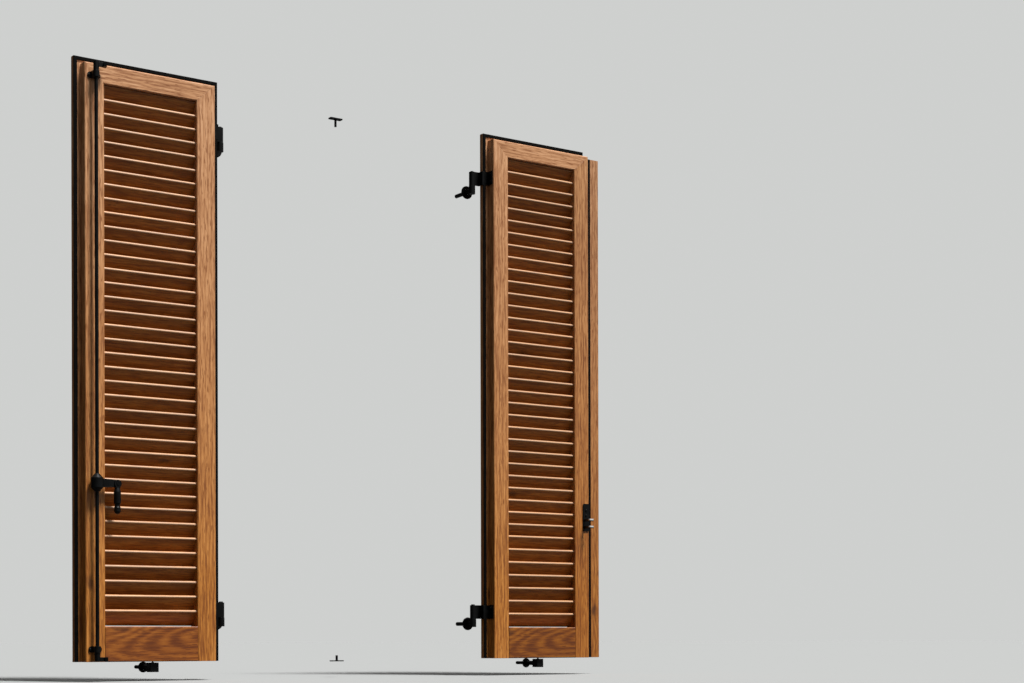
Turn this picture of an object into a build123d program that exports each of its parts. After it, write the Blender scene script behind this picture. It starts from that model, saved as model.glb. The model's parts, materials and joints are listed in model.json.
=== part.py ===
from build123d import *

import os
from math import cos, hypot, radians, sin

# A pair of louvred shutter leaves, folded back against the wall on either side of an opening.
# X runs along the wall, Y into it and Z up. The origin is on the wall's face, on the axis of
# the stud of the left leaf's lower pintle. All sizes are in millimetres.

# Leaves
leaf_height = 1600.0
left_leaf_width = 380.0
meeting_gap = 25.0
leaf_thickness = 45.0
flange_thickness = 15.0
flange_lap = 20.0
stile_width = 55.0
top_rail_height = 50.0
bottom_rail_height = 96.0
arris = 2.0

# Louvres
slat_width = 53.0
slat_thickness = 8.0
slat_tilt = 52.0
slat_recess = 8.0
slat_pitch = 37.7
lower_slat_pitch = 40.1
lower_gap_count = 6
top_nose_drop = 4.3
first_nose_drop = 41.0
last_nose_rise = 41.4
housing_depth = 10.0
housing_clearance = 0.1

# Timber joints
tenon_length = 30.0
tenon_thickness = 12.0
tenon_shoulder = 16.0
joint_clearance = 0.1
dowel_diameter = 8.0
dowel_length = 36.0
dowel_steps = (20.0, 42.0)

# Weather seals
seal_width = 10.0
seal_thickness = 3.0
seal_bulge = 1.0

# Hanging
hinge_span = 855.0
axis_stand_off = 30.0
axis_to_body = 42.0
strap_height = 42.0
strap_thickness = 3.0
strap_leg = 25.0
lower_strap_height = 143.0
upper_strap_drop = 118.0
eye_wall = 3.2
pin_diameter = 12.0
running_clearance = 0.08
seat_clearance = 0.2
pin_crown = 3.0

# Pintles
boss_diameter = 20.0
boss_height = 25.0
stud_drop = 15.0
shank_diameter = 16.0
stud_diameter = 12.0
stud_length = 60.0
stud_chamfer = 1.0
rosette_diameter = 40.0
rosette_thickness = 2.5

# Meeting edge of the right leaf
astragal_lap = 75.0
astragal_hold = 35.0
astragal_thickness = 10.0
astragal_relief = 1.0
astragal_rise = 7.0
astragal_round = 4.0
lap_seal_offset = 34.0
lap_seal_width = 9.0
lap_seal_depth = 2.4
lap_seal_proud = 0.6

# Lock rod, hooks and guides
rod_diameter = 10.0
rod_inset = 25.0
rod_stand_off = 18.0
guide_width = 37.0
guide_height = 17.0
guide_plate = 3.0
guide_wall = 4.0
guide_gap = 0.3
hub_diameter = 15.0
hub_height = 24.0
hook_height = 12.0
hook_reach = 28.0
hook_arm = 6.0
hook_end_margin = 1.0
hook_tip_angle = 26.0
push_clearance = 0.05

# Keepers in the head and on the sill
head_gap = 13.0
sill_gap = 6.0
keeper_plate = 3.0
keeper_length = 41.0
keeper_depth = 18.0
keeper_corner = 3.0
keeper_hole_spacing = 28.0
keeper_hole_diameter = 4.5
keeper_sink_diameter = 8.5
keeper_sink_angle = 90.0
peg_diameter = 7.0
peg_distance = 16.0
peg_angle = 25.0
peg_clearance = 0.3
peg_end_margin = 1.0

# Handle
pivot_height = 478.0
carrier_diameter = 33.0
carrier_height = 48.0
carrier_girdle = 26.0
carrier_end_diameter = 13.0
arm_length = 57.0
arm_height = 25.0
arm_thickness = 10.0
tongue_thickness = 5.0
tongue_radius = 10.0
fork_thickness = 13.0
fork_clearance = 0.3
fork_gap = 1.5
pivot_diameter = 6.0
pivot_head_diameter = 9.0
pivot_head = 1.5
grip_length = 82.0
grip_radius = 9.5
grip_shoulder_drop = 22.0
grip_neck_radius = 7.0
grip_neck_drop = 58.0
grip_neck_half = 6.0
grip_knob_radius = 8.7

# Grip catch on the right leaf
catch_width = 24.0
catch_plate = 3.0
catch_foot_height = 403.0
catch_height = 87.0
catch_margin = 0.7
finger_height = 8.0
finger_heights = (415.0, 437.0)
finger_wall = 3.0
finger_reach = 15.0
finger_round = 4.0
grip_clearance = 0.8

# Hold-backs under the leaves
hold_back_offset = 222.0
block_size = 26.0
block_gap = 3.0
block_arm_diameter = 14.0
block_stud_diameter = 10.0
block_stud_length = 50.0
block_rosette_diameter = 30.0
catch_pin_diameter = 8.0
catch_pin_gap = 0.3
catch_pin_chamfer = 2.4
catch_travel = 4.0
collar_diameter = 10.4
collar_height = 2.0
guide_bore_depth = 5.0
spring_room = 0.3
spring_wire = 1.2
plug_height = 4.0
cup_diameter = 14.0
cup_depth = 10.0
cup_wall = 2.4

# Screws
screw_diameter = 4.0
screw_length = 16.0
long_screw_length = 30.0
screw_head_diameter = 7.5
screw_head_height = 2.0
strap_screw_spacing = 24.0
guide_screw_spacing = 28.0
catch_screw_heights = (452.0, 468.0)
astragal_screw_count = 6
astragal_screw_margin = 90.0

# Places that follow from these sizes. The right leaf fills what the shut left one leaves, each
# leaf's back lies where its seal meets the wall once it is shut, and grip_v is where the locked
# grip hangs over the shut right leaf.
LEFT, RIGHT = -1, 1
right_leaf_width = hinge_span - 2 * axis_to_body - left_leaf_width - meeting_gap
width = {LEFT: left_leaf_width, RIGHT: right_leaf_width}
free_lap = {LEFT: flange_lap, RIGHT: 0.0}
eye_radius = pin_diameter / 2 + running_clearance + eye_wall
foot_z = stud_drop + strap_height / 2 - lower_strap_height
top_z = foot_z + leaf_height
strap_z = {
    "lower": foot_z + lower_strap_height,
    "upper": top_z - upper_strap_drop,
}
axis_y = -axis_stand_off
back_y = flange_thickness + seal_thickness - 2 * axis_stand_off
rebate_y = back_y - flange_thickness
front_y = back_y - leaf_thickness
middle_y = (front_y + back_y) / 2
opening_top_z = top_z - top_rail_height
opening_foot_z = foot_z + bottom_rail_height
flange_top_z = top_z + flange_lap
rod_y = front_y - rod_stand_off
rod_v = axis_to_body + left_leaf_width - rod_inset
grip_v = hinge_span - rod_v - arm_length
free_v = {side: axis_to_body + width[side] for side in (LEFT, RIGHT)}
tilt = radians(slat_tilt)


def across(side, v):
    """X of a point that lies v outward from the pintle axis of one leaf."""
    axis_x = 0.0 if side == LEFT else hinge_span
    return axis_x + side * v


def span(side, v_a, v_b):
    """Middle and width, along X, of the stretch between two outward distances."""
    x_a, x_b = across(side, v_a), across(side, v_b)
    return (x_a + x_b) / 2, abs(x_b - x_a)


def keep(piece, label):
    piece.part.label = label
    export_step(piece.part, f"parts/{label}.step")


# Slat centres in the leaf's section, from the top down, as (Y, Z)
def slat_places():
    half_line = slat_width / 2 - slat_thickness / 2
    nose_y = front_y + slat_recess + slat_thickness / 2
    centre_y = nose_y + half_line * cos(tilt)
    drop = half_line * sin(tilt)
    first_nose = opening_top_z - first_nose_drop
    last_nose = opening_foot_z + last_nose_rise
    upper_run = first_nose - last_nose - lower_gap_count * lower_slat_pitch
    upper_gap_count = max(1, round(upper_run / slat_pitch))
    pitch = upper_run / upper_gap_count
    noses = [opening_top_z - top_nose_drop]
    noses += [first_nose - n * pitch for n in range(upper_gap_count)]
    noses += [last_nose + n * lower_slat_pitch for n in range(lower_gap_count, -1, -1)]
    return [(centre_y, nose - drop) for nose in noses]


def slat_section(margin):
    """The rounded slat section at every slat's place, in the active sketch."""
    with Locations(*slat_places()):
        SlotOverall(slat_width + 2 * margin, slat_thickness + 2 * margin, rotation=180 - slat_tilt)


# The mitre of a top corner runs from the louvre opening's corner to the flange's outer corner.
def mitre_plane(side, inner_v, outer_v):
    inner_x, outer_x = across(side, inner_v), across(side, outer_v)
    run = Vector(outer_x - inner_x, 0, flange_top_z - opening_top_z)
    toward_rail = Vector(-run.Z, 0, run.X)
    if toward_rail.Z < 0:
        toward_rail = -toward_rail
    return Plane(origin=(inner_x, 0, opening_top_z), x_dir=(0, 1, 0), z_dir=toward_rail)


def corner_mitres(side):
    hinge_inner = axis_to_body + stile_width
    hinge_outer = axis_to_body - flange_lap
    free_inner = free_v[side] - stile_width
    free_outer = free_v[side] + flange_lap
    return mitre_plane(side, hinge_inner, hinge_outer), mitre_plane(side, free_inner, free_outer)


def dowel_places(mitre):
    """Planes across the mitre, in the middle of the leaf's thickness."""
    inner = mitre.origin
    along = mitre.z_dir.cross(Vector(0, 1, 0))
    if along.Z < 0:
        along = -along
    places = []
    for step in dowel_steps:
        point = Vector(inner.X, middle_y, inner.Z) + along * step
        places.append(Plane(origin=point, x_dir=(0, 1, 0), z_dir=mitre.z_dir))
    return places


def drill(planes, diameter, depth):
    """Blind holes of one depth each side of their planes, cut from the active part."""
    with Locations(*planes):
        Cylinder(diameter / 2, 2 * depth, mode=Mode.SUBTRACT)


# Each screw's plane lies on the surface under its head, with Z pointing out of it.
def strap_screw_planes(side):
    x = across(side, axis_to_body - strap_thickness)
    y = rebate_y - strap_leg / 2 - strap_thickness / 2
    heights = [
        strap_z[level] + offset
        for level in ("lower", "upper")
        for offset in (-strap_screw_spacing / 2, strap_screw_spacing / 2)
    ]
    return [Plane(origin=(x, y, z), x_dir=(0, 1, 0), z_dir=(-side, 0, 0)) for z in heights]


def hook_z(level):
    if level == "lower":
        return foot_z + hook_end_margin
    return top_z - hook_end_margin - hook_height


def hub_z(level):
    if level == "lower":
        return hook_z("lower")
    return hook_z("upper") + hook_height - hub_height


def guide_z(level):
    if level == "lower":
        return hub_z("lower") + hub_height + guide_gap
    return hub_z("upper") - guide_gap - guide_height


def guide_screw_planes():
    x, y = across(LEFT, rod_v), front_y - guide_plate
    return [
        Plane(origin=(x + offset, y, guide_z(level) + guide_height / 2), x_dir=(1, 0, 0), z_dir=(0, -1, 0))
        for level in ("lower", "upper")
        for offset in (-guide_screw_spacing / 2, guide_screw_spacing / 2)
    ]


def catch_screw_planes():
    x = across(RIGHT, free_v[RIGHT] - catch_margin - catch_width / 2)
    y = front_y - catch_plate
    return [
        Plane(origin=(x, y, foot_z + z), x_dir=(1, 0, 0), z_dir=(0, -1, 0)) for z in catch_screw_heights
    ]


def astragal_screw_planes():
    x = across(RIGHT, free_v[RIGHT] - astragal_hold / 2)
    y = back_y + astragal_thickness + astragal_relief
    first = foot_z + astragal_screw_margin
    step = (leaf_height - 2 * astragal_screw_margin) / (astragal_screw_count - 1)
    return [
        Plane(origin=(x, y, first + n * step), x_dir=(1, 0, 0), z_dir=(0, 1, 0))
        for n in range(astragal_screw_count)
    ]


def screws(planes, length=screw_length):
    with BuildPart() as group:
        with Locations(*planes):
            Cylinder(
                screw_head_diameter / 2,
                screw_head_height,
                align=(Align.CENTER, Align.CENTER, Align.MIN),
            )
            Cylinder(
                screw_diameter / 2,
                length,
                align=(Align.CENTER, Align.CENTER, Align.MAX),
            )
    return group


# Timber
def drill_pilots(pilots):
    for planes, length in pilots:
        drill(planes, screw_diameter + 2 * joint_clearance, length + joint_clearance)


def stile(side, inner_v, body_v, flange_v, mitre, pilots):
    with BuildPart() as piece:
        with BuildSketch(Plane.XY.offset(foot_z)) as section:
            x, wide = span(side, inner_v, body_v)
            with Locations((x, middle_y)):
                Rectangle(wide, leaf_thickness)
            chamfer(section.vertices().group_by(Axis.Y)[0], arris)
            x, wide = span(side, inner_v, flange_v)
            with Locations((x, (rebate_y + back_y) / 2)):
                Rectangle(wide, flange_thickness)
        extrude(amount=leaf_height + flange_lap)
        with BuildSketch(Plane.XY.offset(top_z)):
            x, wide = span(side, inner_v, body_v)
            with Locations((x, (front_y + rebate_y) / 2)):
                Rectangle(2 * wide, leaf_thickness - flange_thickness)
        extrude(amount=flange_lap, mode=Mode.SUBTRACT)
        split(bisect_by=mitre, keep=Keep.BOTTOM)
        into = 1 if across(side, body_v) > across(side, inner_v) else -1
        with BuildSketch(Plane.YZ.offset(across(side, inner_v))):
            slat_section(housing_clearance)
        extrude(amount=into * housing_depth, mode=Mode.SUBTRACT)
        with BuildSketch(Plane.YZ.offset(across(side, inner_v))):
            with Locations((middle_y, foot_z + bottom_rail_height / 2)):
                Rectangle(
                    tenon_thickness + 2 * joint_clearance,
                    bottom_rail_height - 2 * tenon_shoulder + 2 * joint_clearance,
                )
        extrude(amount=into * (tenon_length + joint_clearance), mode=Mode.SUBTRACT)
        drill(dowel_places(mitre), dowel_diameter + 2 * joint_clearance, dowel_length / 2 + joint_clearance)
        drill_pilots(pilots)
    return piece


def top_rail(side, pilots):
    hinge_mitre, free_mitre = corner_mitres(side)
    with BuildPart() as piece:
        x, wide = span(side, axis_to_body, free_v[side])
        with BuildSketch(Plane.YZ.offset(x - wide / 2)) as section:
            with Locations((middle_y, (opening_top_z + top_z) / 2)):
                Rectangle(leaf_thickness, top_rail_height)
            chamfer(section.vertices().group_by(Axis.X)[0], arris)
        extrude(amount=wide)
        x, wide = span(side, axis_to_body - flange_lap, free_v[side] + free_lap[side])
        with BuildSketch(Plane.YZ.offset(x - wide / 2)):
            with Locations(((rebate_y + back_y) / 2, (opening_top_z + flange_top_z) / 2)):
                Rectangle(flange_thickness, top_rail_height + flange_lap)
        extrude(amount=wide)
        split(bisect_by=hinge_mitre, keep=Keep.TOP)
        split(bisect_by=free_mitre, keep=Keep.TOP)
        for mitre in (hinge_mitre, free_mitre):
            drill(dowel_places(mitre), dowel_diameter + 2 * joint_clearance, dowel_length / 2 + joint_clearance)
        drill_pilots(pilots)
    return piece


def bottom_rail(side):
    inner = axis_to_body + stile_width
    outer = free_v[side] - stile_width
    with BuildPart() as piece:
        x, wide = span(side, inner, outer)
        with BuildSketch(Plane.YZ.offset(x - wide / 2)) as section:
            with Locations((middle_y, foot_z + bottom_rail_height / 2)):
                Rectangle(leaf_thickness, bottom_rail_height)
            chamfer(section.vertices().group_by(Axis.X)[0], arris)
        extrude(amount=wide)
        x, wide = span(side, inner - tenon_length, outer + tenon_length)
        with BuildSketch(Plane.YZ.offset(x - wide / 2)):
            with Locations((middle_y, foot_z + bottom_rail_height / 2)):
                Rectangle(tenon_thickness, bottom_rail_height - 2 * tenon_shoulder)
        extrude(amount=wide)
        with Locations((across(side, hold_back_offset), middle_y, foot_z)):
            Cylinder(cup_diameter / 2 + joint_clearance, 2 * (cup_depth + joint_clearance), mode=Mode.SUBTRACT)
    return piece


def slats(side):
    inner = axis_to_body + stile_width - housing_depth + housing_clearance
    outer = free_v[side] - stile_width + housing_depth - housing_clearance
    with BuildPart() as piece:
        x, wide = span(side, inner, outer)
        with BuildSketch(Plane.YZ.offset(x - wide / 2)):
            slat_section(0)
        extrude(amount=wide)
    return piece


def corner_dowels(side):
    places = [place for mitre in corner_mitres(side) for place in dowel_places(mitre)]
    with BuildPart() as piece:
        with Locations(*places):
            Cylinder(dowel_diameter / 2, dowel_length)
    return piece


def perimeter_seal(side):
    with BuildPart() as piece:
        with BuildSketch(Plane.XZ.offset(-rebate_y)):
            edge_v = axis_to_body - flange_lap
            x, wide = span(side, edge_v, edge_v + seal_width)
            with Locations((x, (foot_z + flange_top_z) / 2)):
                Rectangle(wide, flange_top_z - foot_z)
            far_v = free_v[side] + free_lap[side]
            x, wide = span(side, edge_v, far_v)
            with Locations((x, flange_top_z - seal_width / 2)):
                Rectangle(wide, seal_width)
            if free_lap[side]:
                x, wide = span(side, far_v - seal_width, far_v)
                with Locations((x, (foot_z + flange_top_z) / 2)):
                    Rectangle(wide, flange_top_z - foot_z)
            x = across(side, edge_v)
            seal_gap = 2 * (seal_width + seat_clearance)
            with Locations(*[(x, z) for z in strap_z.values()]):
                Rectangle(seal_gap, strap_height + 2 * seat_clearance, mode=Mode.SUBTRACT)
        extrude(amount=seal_thickness)
        chamfer(piece.edges().group_by(Axis.Y)[0], seal_bulge)
    return piece


# Straps: a leg on the body's edge, a fold over the flange and a rolled eye
def strap(side, level):
    with BuildPart() as piece:
        with BuildSketch(Plane.XY.offset(strap_z[level] - strap_height / 2)) as section:
            leg_v, flange_v = axis_to_body, axis_to_body - flange_lap
            fold_y = rebate_y - strap_thickness
            tail_y = axis_y - eye_radius
            pieces = (
                (leg_v - strap_thickness, leg_v, fold_y - strap_leg + strap_thickness, rebate_y),
                (flange_v - strap_thickness, leg_v, fold_y, rebate_y),
                (flange_v - strap_thickness, flange_v, fold_y, tail_y + strap_thickness),
                (0, flange_v, tail_y, tail_y + strap_thickness),
            )
            for v_a, v_b, y_a, y_b in pieces:
                x, wide = span(side, v_a, v_b)
                with Locations((x, (y_a + y_b) / 2)):
                    Rectangle(wide, y_b - y_a)
            with Locations((across(side, 0), axis_y)):
                Circle(eye_radius)
                Circle(pin_diameter / 2 + running_clearance, mode=Mode.SUBTRACT)
        extrude(amount=strap_height)
        planes = strap_screw_planes(side)
        drill(planes[:2] if level == "lower" else planes[2:], screw_diameter + 2 * seat_clearance, 2 * strap_thickness)
    return piece


def pintle(side, level):
    eye_bottom = strap_z[level] - strap_height / 2
    stud_z = eye_bottom - stud_drop
    x = across(side, 0)
    with BuildPart() as piece:
        with BuildSketch(Plane.XY.offset(eye_bottom - seat_clearance - boss_height)):
            with Locations((x, axis_y)):
                Circle(boss_diameter / 2)
        extrude(amount=boss_height)
        with BuildSketch(Plane.XY.offset(eye_bottom - seat_clearance)):
            with Locations((x, axis_y)):
                Circle(pin_diameter / 2)
        extrude(amount=strap_height + seat_clearance + pin_crown)
        chamfer(piece.faces().sort_by(Axis.Z)[-1].edges(), pin_crown / 2)
        with BuildSketch(Plane.XZ):
            with Locations((x, stud_z)):
                Circle(shank_diameter / 2)
        extrude(amount=axis_stand_off)
        with BuildSketch(Plane.XZ):
            with Locations((x, stud_z)):
                Circle(stud_diameter / 2)
        extrude(amount=-stud_length)
        chamfer(piece.faces().sort_by(Axis.Y)[-1].edges(), stud_chamfer)
    return piece


def rosettes(places, inner_diameter, outer_diameter):
    with BuildPart() as piece:
        with BuildSketch(Plane.XZ):
            with Locations(*places):
                Circle(outer_diameter / 2)
                Circle(inner_diameter / 2 + joint_clearance, mode=Mode.SUBTRACT)
        extrude(amount=rosette_thickness)
        outer_rims = piece.edges().filter_by(GeomType.CIRCLE).group_by(SortBy.RADIUS)[-1]
        chamfer(outer_rims.group_by(Axis.Y)[0], rosette_thickness / 2)
    return piece


# Astragal on the right leaf's meeting edge, with its let-in seal
def astragal():
    edge = free_v[RIGHT]
    outer_y = back_y + astragal_thickness + astragal_relief
    with BuildPart() as piece:
        with BuildSketch(Plane.XY.offset(foot_z)) as section:
            x, wide = span(RIGHT, edge - astragal_hold, edge)
            with Locations((x, (back_y + outer_y) / 2)):
                Rectangle(wide, outer_y - back_y)
            x, wide = span(RIGHT, edge - astragal_hold, edge + astragal_lap)
            with Locations((x, outer_y - astragal_thickness / 2)):
                Rectangle(wide, astragal_thickness)
            fillet(section.vertices().group_by(Axis.Y)[-1], astragal_round)
            x, wide = span(RIGHT, edge + lap_seal_offset, edge + lap_seal_offset + lap_seal_width)
            with Locations((x, back_y + astragal_relief)):
                Rectangle(wide, 2 * lap_seal_depth, mode=Mode.SUBTRACT)
        extrude(amount=leaf_height + astragal_rise)
        drill_pilots([(astragal_screw_planes(), long_screw_length)])
    return piece


def lap_seal():
    edge = free_v[RIGHT]
    face_y = back_y + astragal_relief
    with BuildPart() as piece:
        with BuildSketch(Plane.XY.offset(foot_z)) as section:
            x, wide = span(RIGHT, edge + lap_seal_offset, edge + lap_seal_offset + lap_seal_width)
            with Locations((x, face_y + (lap_seal_depth - lap_seal_proud) / 2)):
                Rectangle(wide - 2 * joint_clearance, lap_seal_depth + lap_seal_proud - 2 * joint_clearance)
            chamfer(section.vertices().group_by(Axis.Y)[0], lap_seal_proud)
        extrude(amount=leaf_height + astragal_rise)
    return piece


# Lock rod and what turns with it
def rod_axis():
    return across(LEFT, rod_v), rod_y


def lock_rod():
    with BuildPart() as piece:
        with BuildSketch(Plane.XY.offset(hook_z("lower"))):
            with Locations(rod_axis()):
                Circle(rod_diameter / 2)
        extrude(amount=hook_z("upper") + hook_height - hook_z("lower"))
    return piece


def rod_guide(level):
    x, y = rod_axis()
    ring = rod_diameter / 2 + running_clearance + guide_wall
    with BuildPart() as piece:
        with BuildSketch(Plane.XZ.offset(-front_y)):
            with Locations((x, guide_z(level) + guide_height / 2)):
                SlotOverall(guide_width, guide_height)
        extrude(amount=guide_plate)
        with BuildSketch(Plane.XY.offset(guide_z(level))):
            with Locations((x, (front_y + y) / 2)):
                Rectangle(2 * ring, rod_stand_off)
            with Locations((x, y)):
                Circle(ring)
        extrude(amount=guide_height)
        with Locations((x, y, guide_z(level) + guide_height / 2)):
            Cylinder(rod_diameter / 2 + running_clearance, guide_height, mode=Mode.SUBTRACT)
        planes = guide_screw_planes()
        drill(planes[:2] if level == "lower" else planes[2:], screw_diameter + 2 * seat_clearance, guide_plate)
    return piece


def hook(level):
    x, y = rod_axis()
    inner = peg_distance + peg_diameter / 2 + peg_clearance
    with BuildPart() as piece:
        with BuildSketch(Plane.XY.offset(hub_z(level))):
            with Locations((x, y)):
                Circle(hub_diameter / 2)
        extrude(amount=hub_height)
        with BuildSketch(Plane.XY.offset(hook_z(level))):
            with Locations((x + hook_reach / 2, y)):
                Rectangle(hook_reach, hook_arm)
            with BuildLine():
                inside = CenterArc((x, y), inner, -hook_tip_angle, hook_tip_angle)
                outside = CenterArc((x, y), hook_reach, -hook_tip_angle, hook_tip_angle)
                Line(inside @ 0, outside @ 0)
                Line(inside @ 1, outside @ 1)
            make_face()
        extrude(amount=hook_height)
        with Locations((x, y, hub_z(level) + hub_height / 2)):
            Cylinder(rod_diameter / 2 + push_clearance, hub_height, mode=Mode.SUBTRACT)
    return piece


def handle_carrier():
    x, y = rod_axis()
    pivot_z = foot_z + pivot_height
    neck = x + arm_length - tongue_radius - fork_gap
    with BuildPart() as piece:
        with BuildSketch(Plane.XZ.offset(-y)):
            with BuildLine():
                Polyline(
                    (x, pivot_z - carrier_height / 2),
                    (x + carrier_end_diameter / 2, pivot_z - carrier_height / 2),
                    (x + carrier_diameter / 2, pivot_z - carrier_girdle / 2),
                    (x + carrier_diameter / 2, pivot_z + carrier_girdle / 2),
                    (x + carrier_end_diameter / 2, pivot_z + carrier_height / 2),
                    (x, pivot_z + carrier_height / 2),
                    close=True,
                )
            make_face()
        revolve(axis=Axis((x, y, pivot_z), (0, 0, 1)))
        with BuildSketch(Plane.XZ.offset(-y)):
            with BuildLine():
                Polyline(
                    (x, pivot_z - arm_height / 2),
                    (neck, pivot_z - tongue_radius),
                    (neck, pivot_z + tongue_radius),
                    (x, pivot_z + arm_height / 2),
                    close=True,
                )
            make_face()
        extrude(amount=arm_thickness / 2, both=True)
        with BuildSketch(Plane.XZ.offset(-y)):
            with Locations((neck + (arm_length + x - neck) / 2, pivot_z)):
                Rectangle(arm_length + x - neck, 2 * tongue_radius)
            with Locations((x + arm_length, pivot_z)):
                Circle(tongue_radius)
                Circle(pivot_diameter / 2 + running_clearance, mode=Mode.SUBTRACT)
        extrude(amount=tongue_thickness / 2, both=True)
        with Locations((x, y, pivot_z)):
            Cylinder(rod_diameter / 2 + push_clearance, carrier_height, mode=Mode.SUBTRACT)
    return piece


def handle_pin():
    x, y = rod_axis()
    place = (x + arm_length, foot_z + pivot_height)
    with BuildPart() as piece:
        with BuildSketch(Plane.XZ.offset(-y)):
            with Locations(place):
                Circle(pivot_diameter / 2)
        extrude(amount=fork_thickness / 2 + seat_clearance + pivot_head, both=True)
        for face_y in (-1, 1):
            start = -y + face_y * (fork_thickness / 2 + seat_clearance)
            with BuildSketch(Plane.XZ.offset(start)):
                with Locations(place):
                    Circle(pivot_head_diameter / 2)
            extrude(amount=face_y * pivot_head)
    return piece


def handle_grip():
    x, y = rod_axis()
    pivot_x, pivot_z = x + arm_length, foot_z + pivot_height
    shoulder = tongue_radius + fork_gap
    neck_radius = fork_thickness / 2
    with BuildPart() as piece:
        with BuildSketch(Plane.XZ.offset(-y)):
            with Locations((pivot_x, pivot_z)):
                Circle(tongue_radius)
            with Locations((pivot_x, pivot_z - shoulder / 2)):
                Rectangle(2 * neck_radius, shoulder)
        extrude(amount=fork_thickness / 2, both=True)
        with BuildSketch(Plane.XZ.offset(-y)):
            with BuildLine():
                neck_z = pivot_z - grip_neck_drop
                body = Polyline(
                    (pivot_x, pivot_z - shoulder),
                    (pivot_x + neck_radius, pivot_z - shoulder),
                    (pivot_x + grip_radius, pivot_z - grip_shoulder_drop),
                    (pivot_x + grip_radius, neck_z + grip_neck_half),
                )
                neck = ThreePointArc(
                    body @ 1,
                    (pivot_x + grip_neck_radius, neck_z),
                    (pivot_x + grip_knob_radius, neck_z - grip_neck_half),
                )
                knob = Line(neck @ 1, (pivot_x + grip_knob_radius, pivot_z - grip_length + grip_knob_radius))
                RadiusArc(knob @ 1, (pivot_x, pivot_z - grip_length), grip_knob_radius)
                Line((pivot_x, pivot_z - grip_length), body @ 0)
            make_face()
        revolve(axis=Axis((pivot_x, y, pivot_z), (0, 0, 1)))
        with BuildSketch(Plane.XZ.offset(-y)):
            with Locations((pivot_x, pivot_z)):
                Circle(hypot(tongue_radius, shoulder) + fork_clearance)
        extrude(amount=tongue_thickness / 2 + fork_clearance, both=True, mode=Mode.SUBTRACT)
        with Locations(Plane(origin=(pivot_x, y, pivot_z), z_dir=(0, -1, 0))):
            Cylinder(pivot_diameter / 2 + running_clearance, 2 * fork_thickness, mode=Mode.SUBTRACT)
    return piece


# Catch for the grip: a plate with two hooked fingers that the locked grip hangs behind
def grip_catch():
    edge = free_v[RIGHT] - catch_margin
    root = grip_v - grip_radius - grip_clearance - finger_wall
    tongue = rod_stand_off + grip_radius + grip_clearance
    with BuildPart() as piece:
        x, wide = span(RIGHT, edge - catch_width, edge)
        with BuildSketch(Plane.XZ.offset(-front_y)):
            with Locations((x, foot_z + catch_foot_height + catch_height / 2)):
                RectangleRounded(wide, catch_height, finger_round)
        extrude(amount=catch_plate)
        for height in finger_heights:
            with BuildSketch(Plane.XY.offset(foot_z + height - finger_height / 2)) as finger:
                x, wide = span(RIGHT, root, root + finger_wall)
                with Locations((x, front_y - (tongue + finger_wall) / 2)):
                    Rectangle(wide, tongue + finger_wall)
                x, wide = span(RIGHT, root, root + finger_reach)
                with Locations((x, front_y - tongue - finger_wall / 2)):
                    Rectangle(wide, finger_wall)
                corner = finger.vertices().group_by(Axis.Y)[0].sort_by(Axis.X)[0]
                fillet(corner, finger_round)
            extrude(amount=finger_height)
        drill(catch_screw_planes(), screw_diameter + 2 * seat_clearance, catch_plate)
    return piece


# Keepers: a plate with the peg that the rod's hook turns behind
def peg_place():
    closed_x = -across(LEFT, rod_v)
    closed_y = 2 * axis_y - rod_y
    reach = radians(peg_angle)
    return closed_x + peg_distance * cos(reach), closed_y - peg_distance * sin(reach)


def keeper(level):
    peg_x, peg_y = peg_place()
    up = 1 if level == "upper" else -1
    wall_z = top_z + head_gap if level == "upper" else foot_z - sill_gap
    hook_face = hook_z(level) if level == "upper" else hook_z(level) + hook_height
    with BuildPart() as piece:
        with BuildSketch(Plane.XY.offset(wall_z)):
            with Locations((peg_x, peg_y)):
                RectangleRounded(keeper_length, keeper_depth, keeper_corner)
        extrude(amount=-up * keeper_plate)
        with BuildSketch(Plane.XY.offset(wall_z)):
            with Locations((peg_x, peg_y)):
                Circle(peg_diameter / 2)
        extrude(amount=hook_face + up * peg_end_margin - wall_z)
        sink_plane = Plane(origin=(0, 0, wall_z - up * keeper_plate), z_dir=(0, 0, -up))
        holes = [
            sink_plane.to_local_coords(Vector(peg_x + offset, peg_y, sink_plane.origin.Z))
            for offset in (-keeper_hole_spacing / 2, keeper_hole_spacing / 2)
        ]
        with Locations(sink_plane):
            with Locations(*holes):
                CounterSinkHole(
                    keeper_hole_diameter / 2,
                    keeper_sink_diameter / 2,
                    depth=keeper_plate,
                    counter_sink_angle=keeper_sink_angle,
                )
    return piece


# Hold-backs: a block on a wall stud, with a sprung pin that rises into a cup in the leaf
def block_top():
    return foot_z - block_gap


def hold_back(side):
    x = across(side, hold_back_offset)
    top = block_top()
    with BuildPart() as piece:
        with BuildSketch(Plane.XY.offset(top)):
            with Locations((x, middle_y)):
                Rectangle(block_size, block_size)
        extrude(amount=-block_size)
        chamfer(piece.edges().filter_by(Axis.Z), arris)
        with BuildSketch(Plane.XZ):
            with Locations((x, top - block_size / 2)):
                Circle(block_arm_diameter / 2)
        extrude(amount=-middle_y - block_size / 4)
        with BuildSketch(Plane.XZ):
            with Locations((x, top - block_size / 2)):
                Circle(block_stud_diameter / 2)
        extrude(amount=-block_stud_length)
        with BuildSketch(Plane.XY.offset(top)):
            with Locations((x, middle_y)):
                Circle(catch_pin_diameter / 2 + running_clearance)
        extrude(amount=-guide_bore_depth, mode=Mode.SUBTRACT)
        with BuildSketch(Plane.XY.offset(top - guide_bore_depth)):
            with Locations((x, middle_y)):
                Circle(collar_diameter / 2 + running_clearance)
        extrude(amount=guide_bore_depth - block_size, mode=Mode.SUBTRACT)
    return piece


def collar_foot():
    return block_top() - guide_bore_depth - spring_room - catch_travel - collar_height


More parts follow.
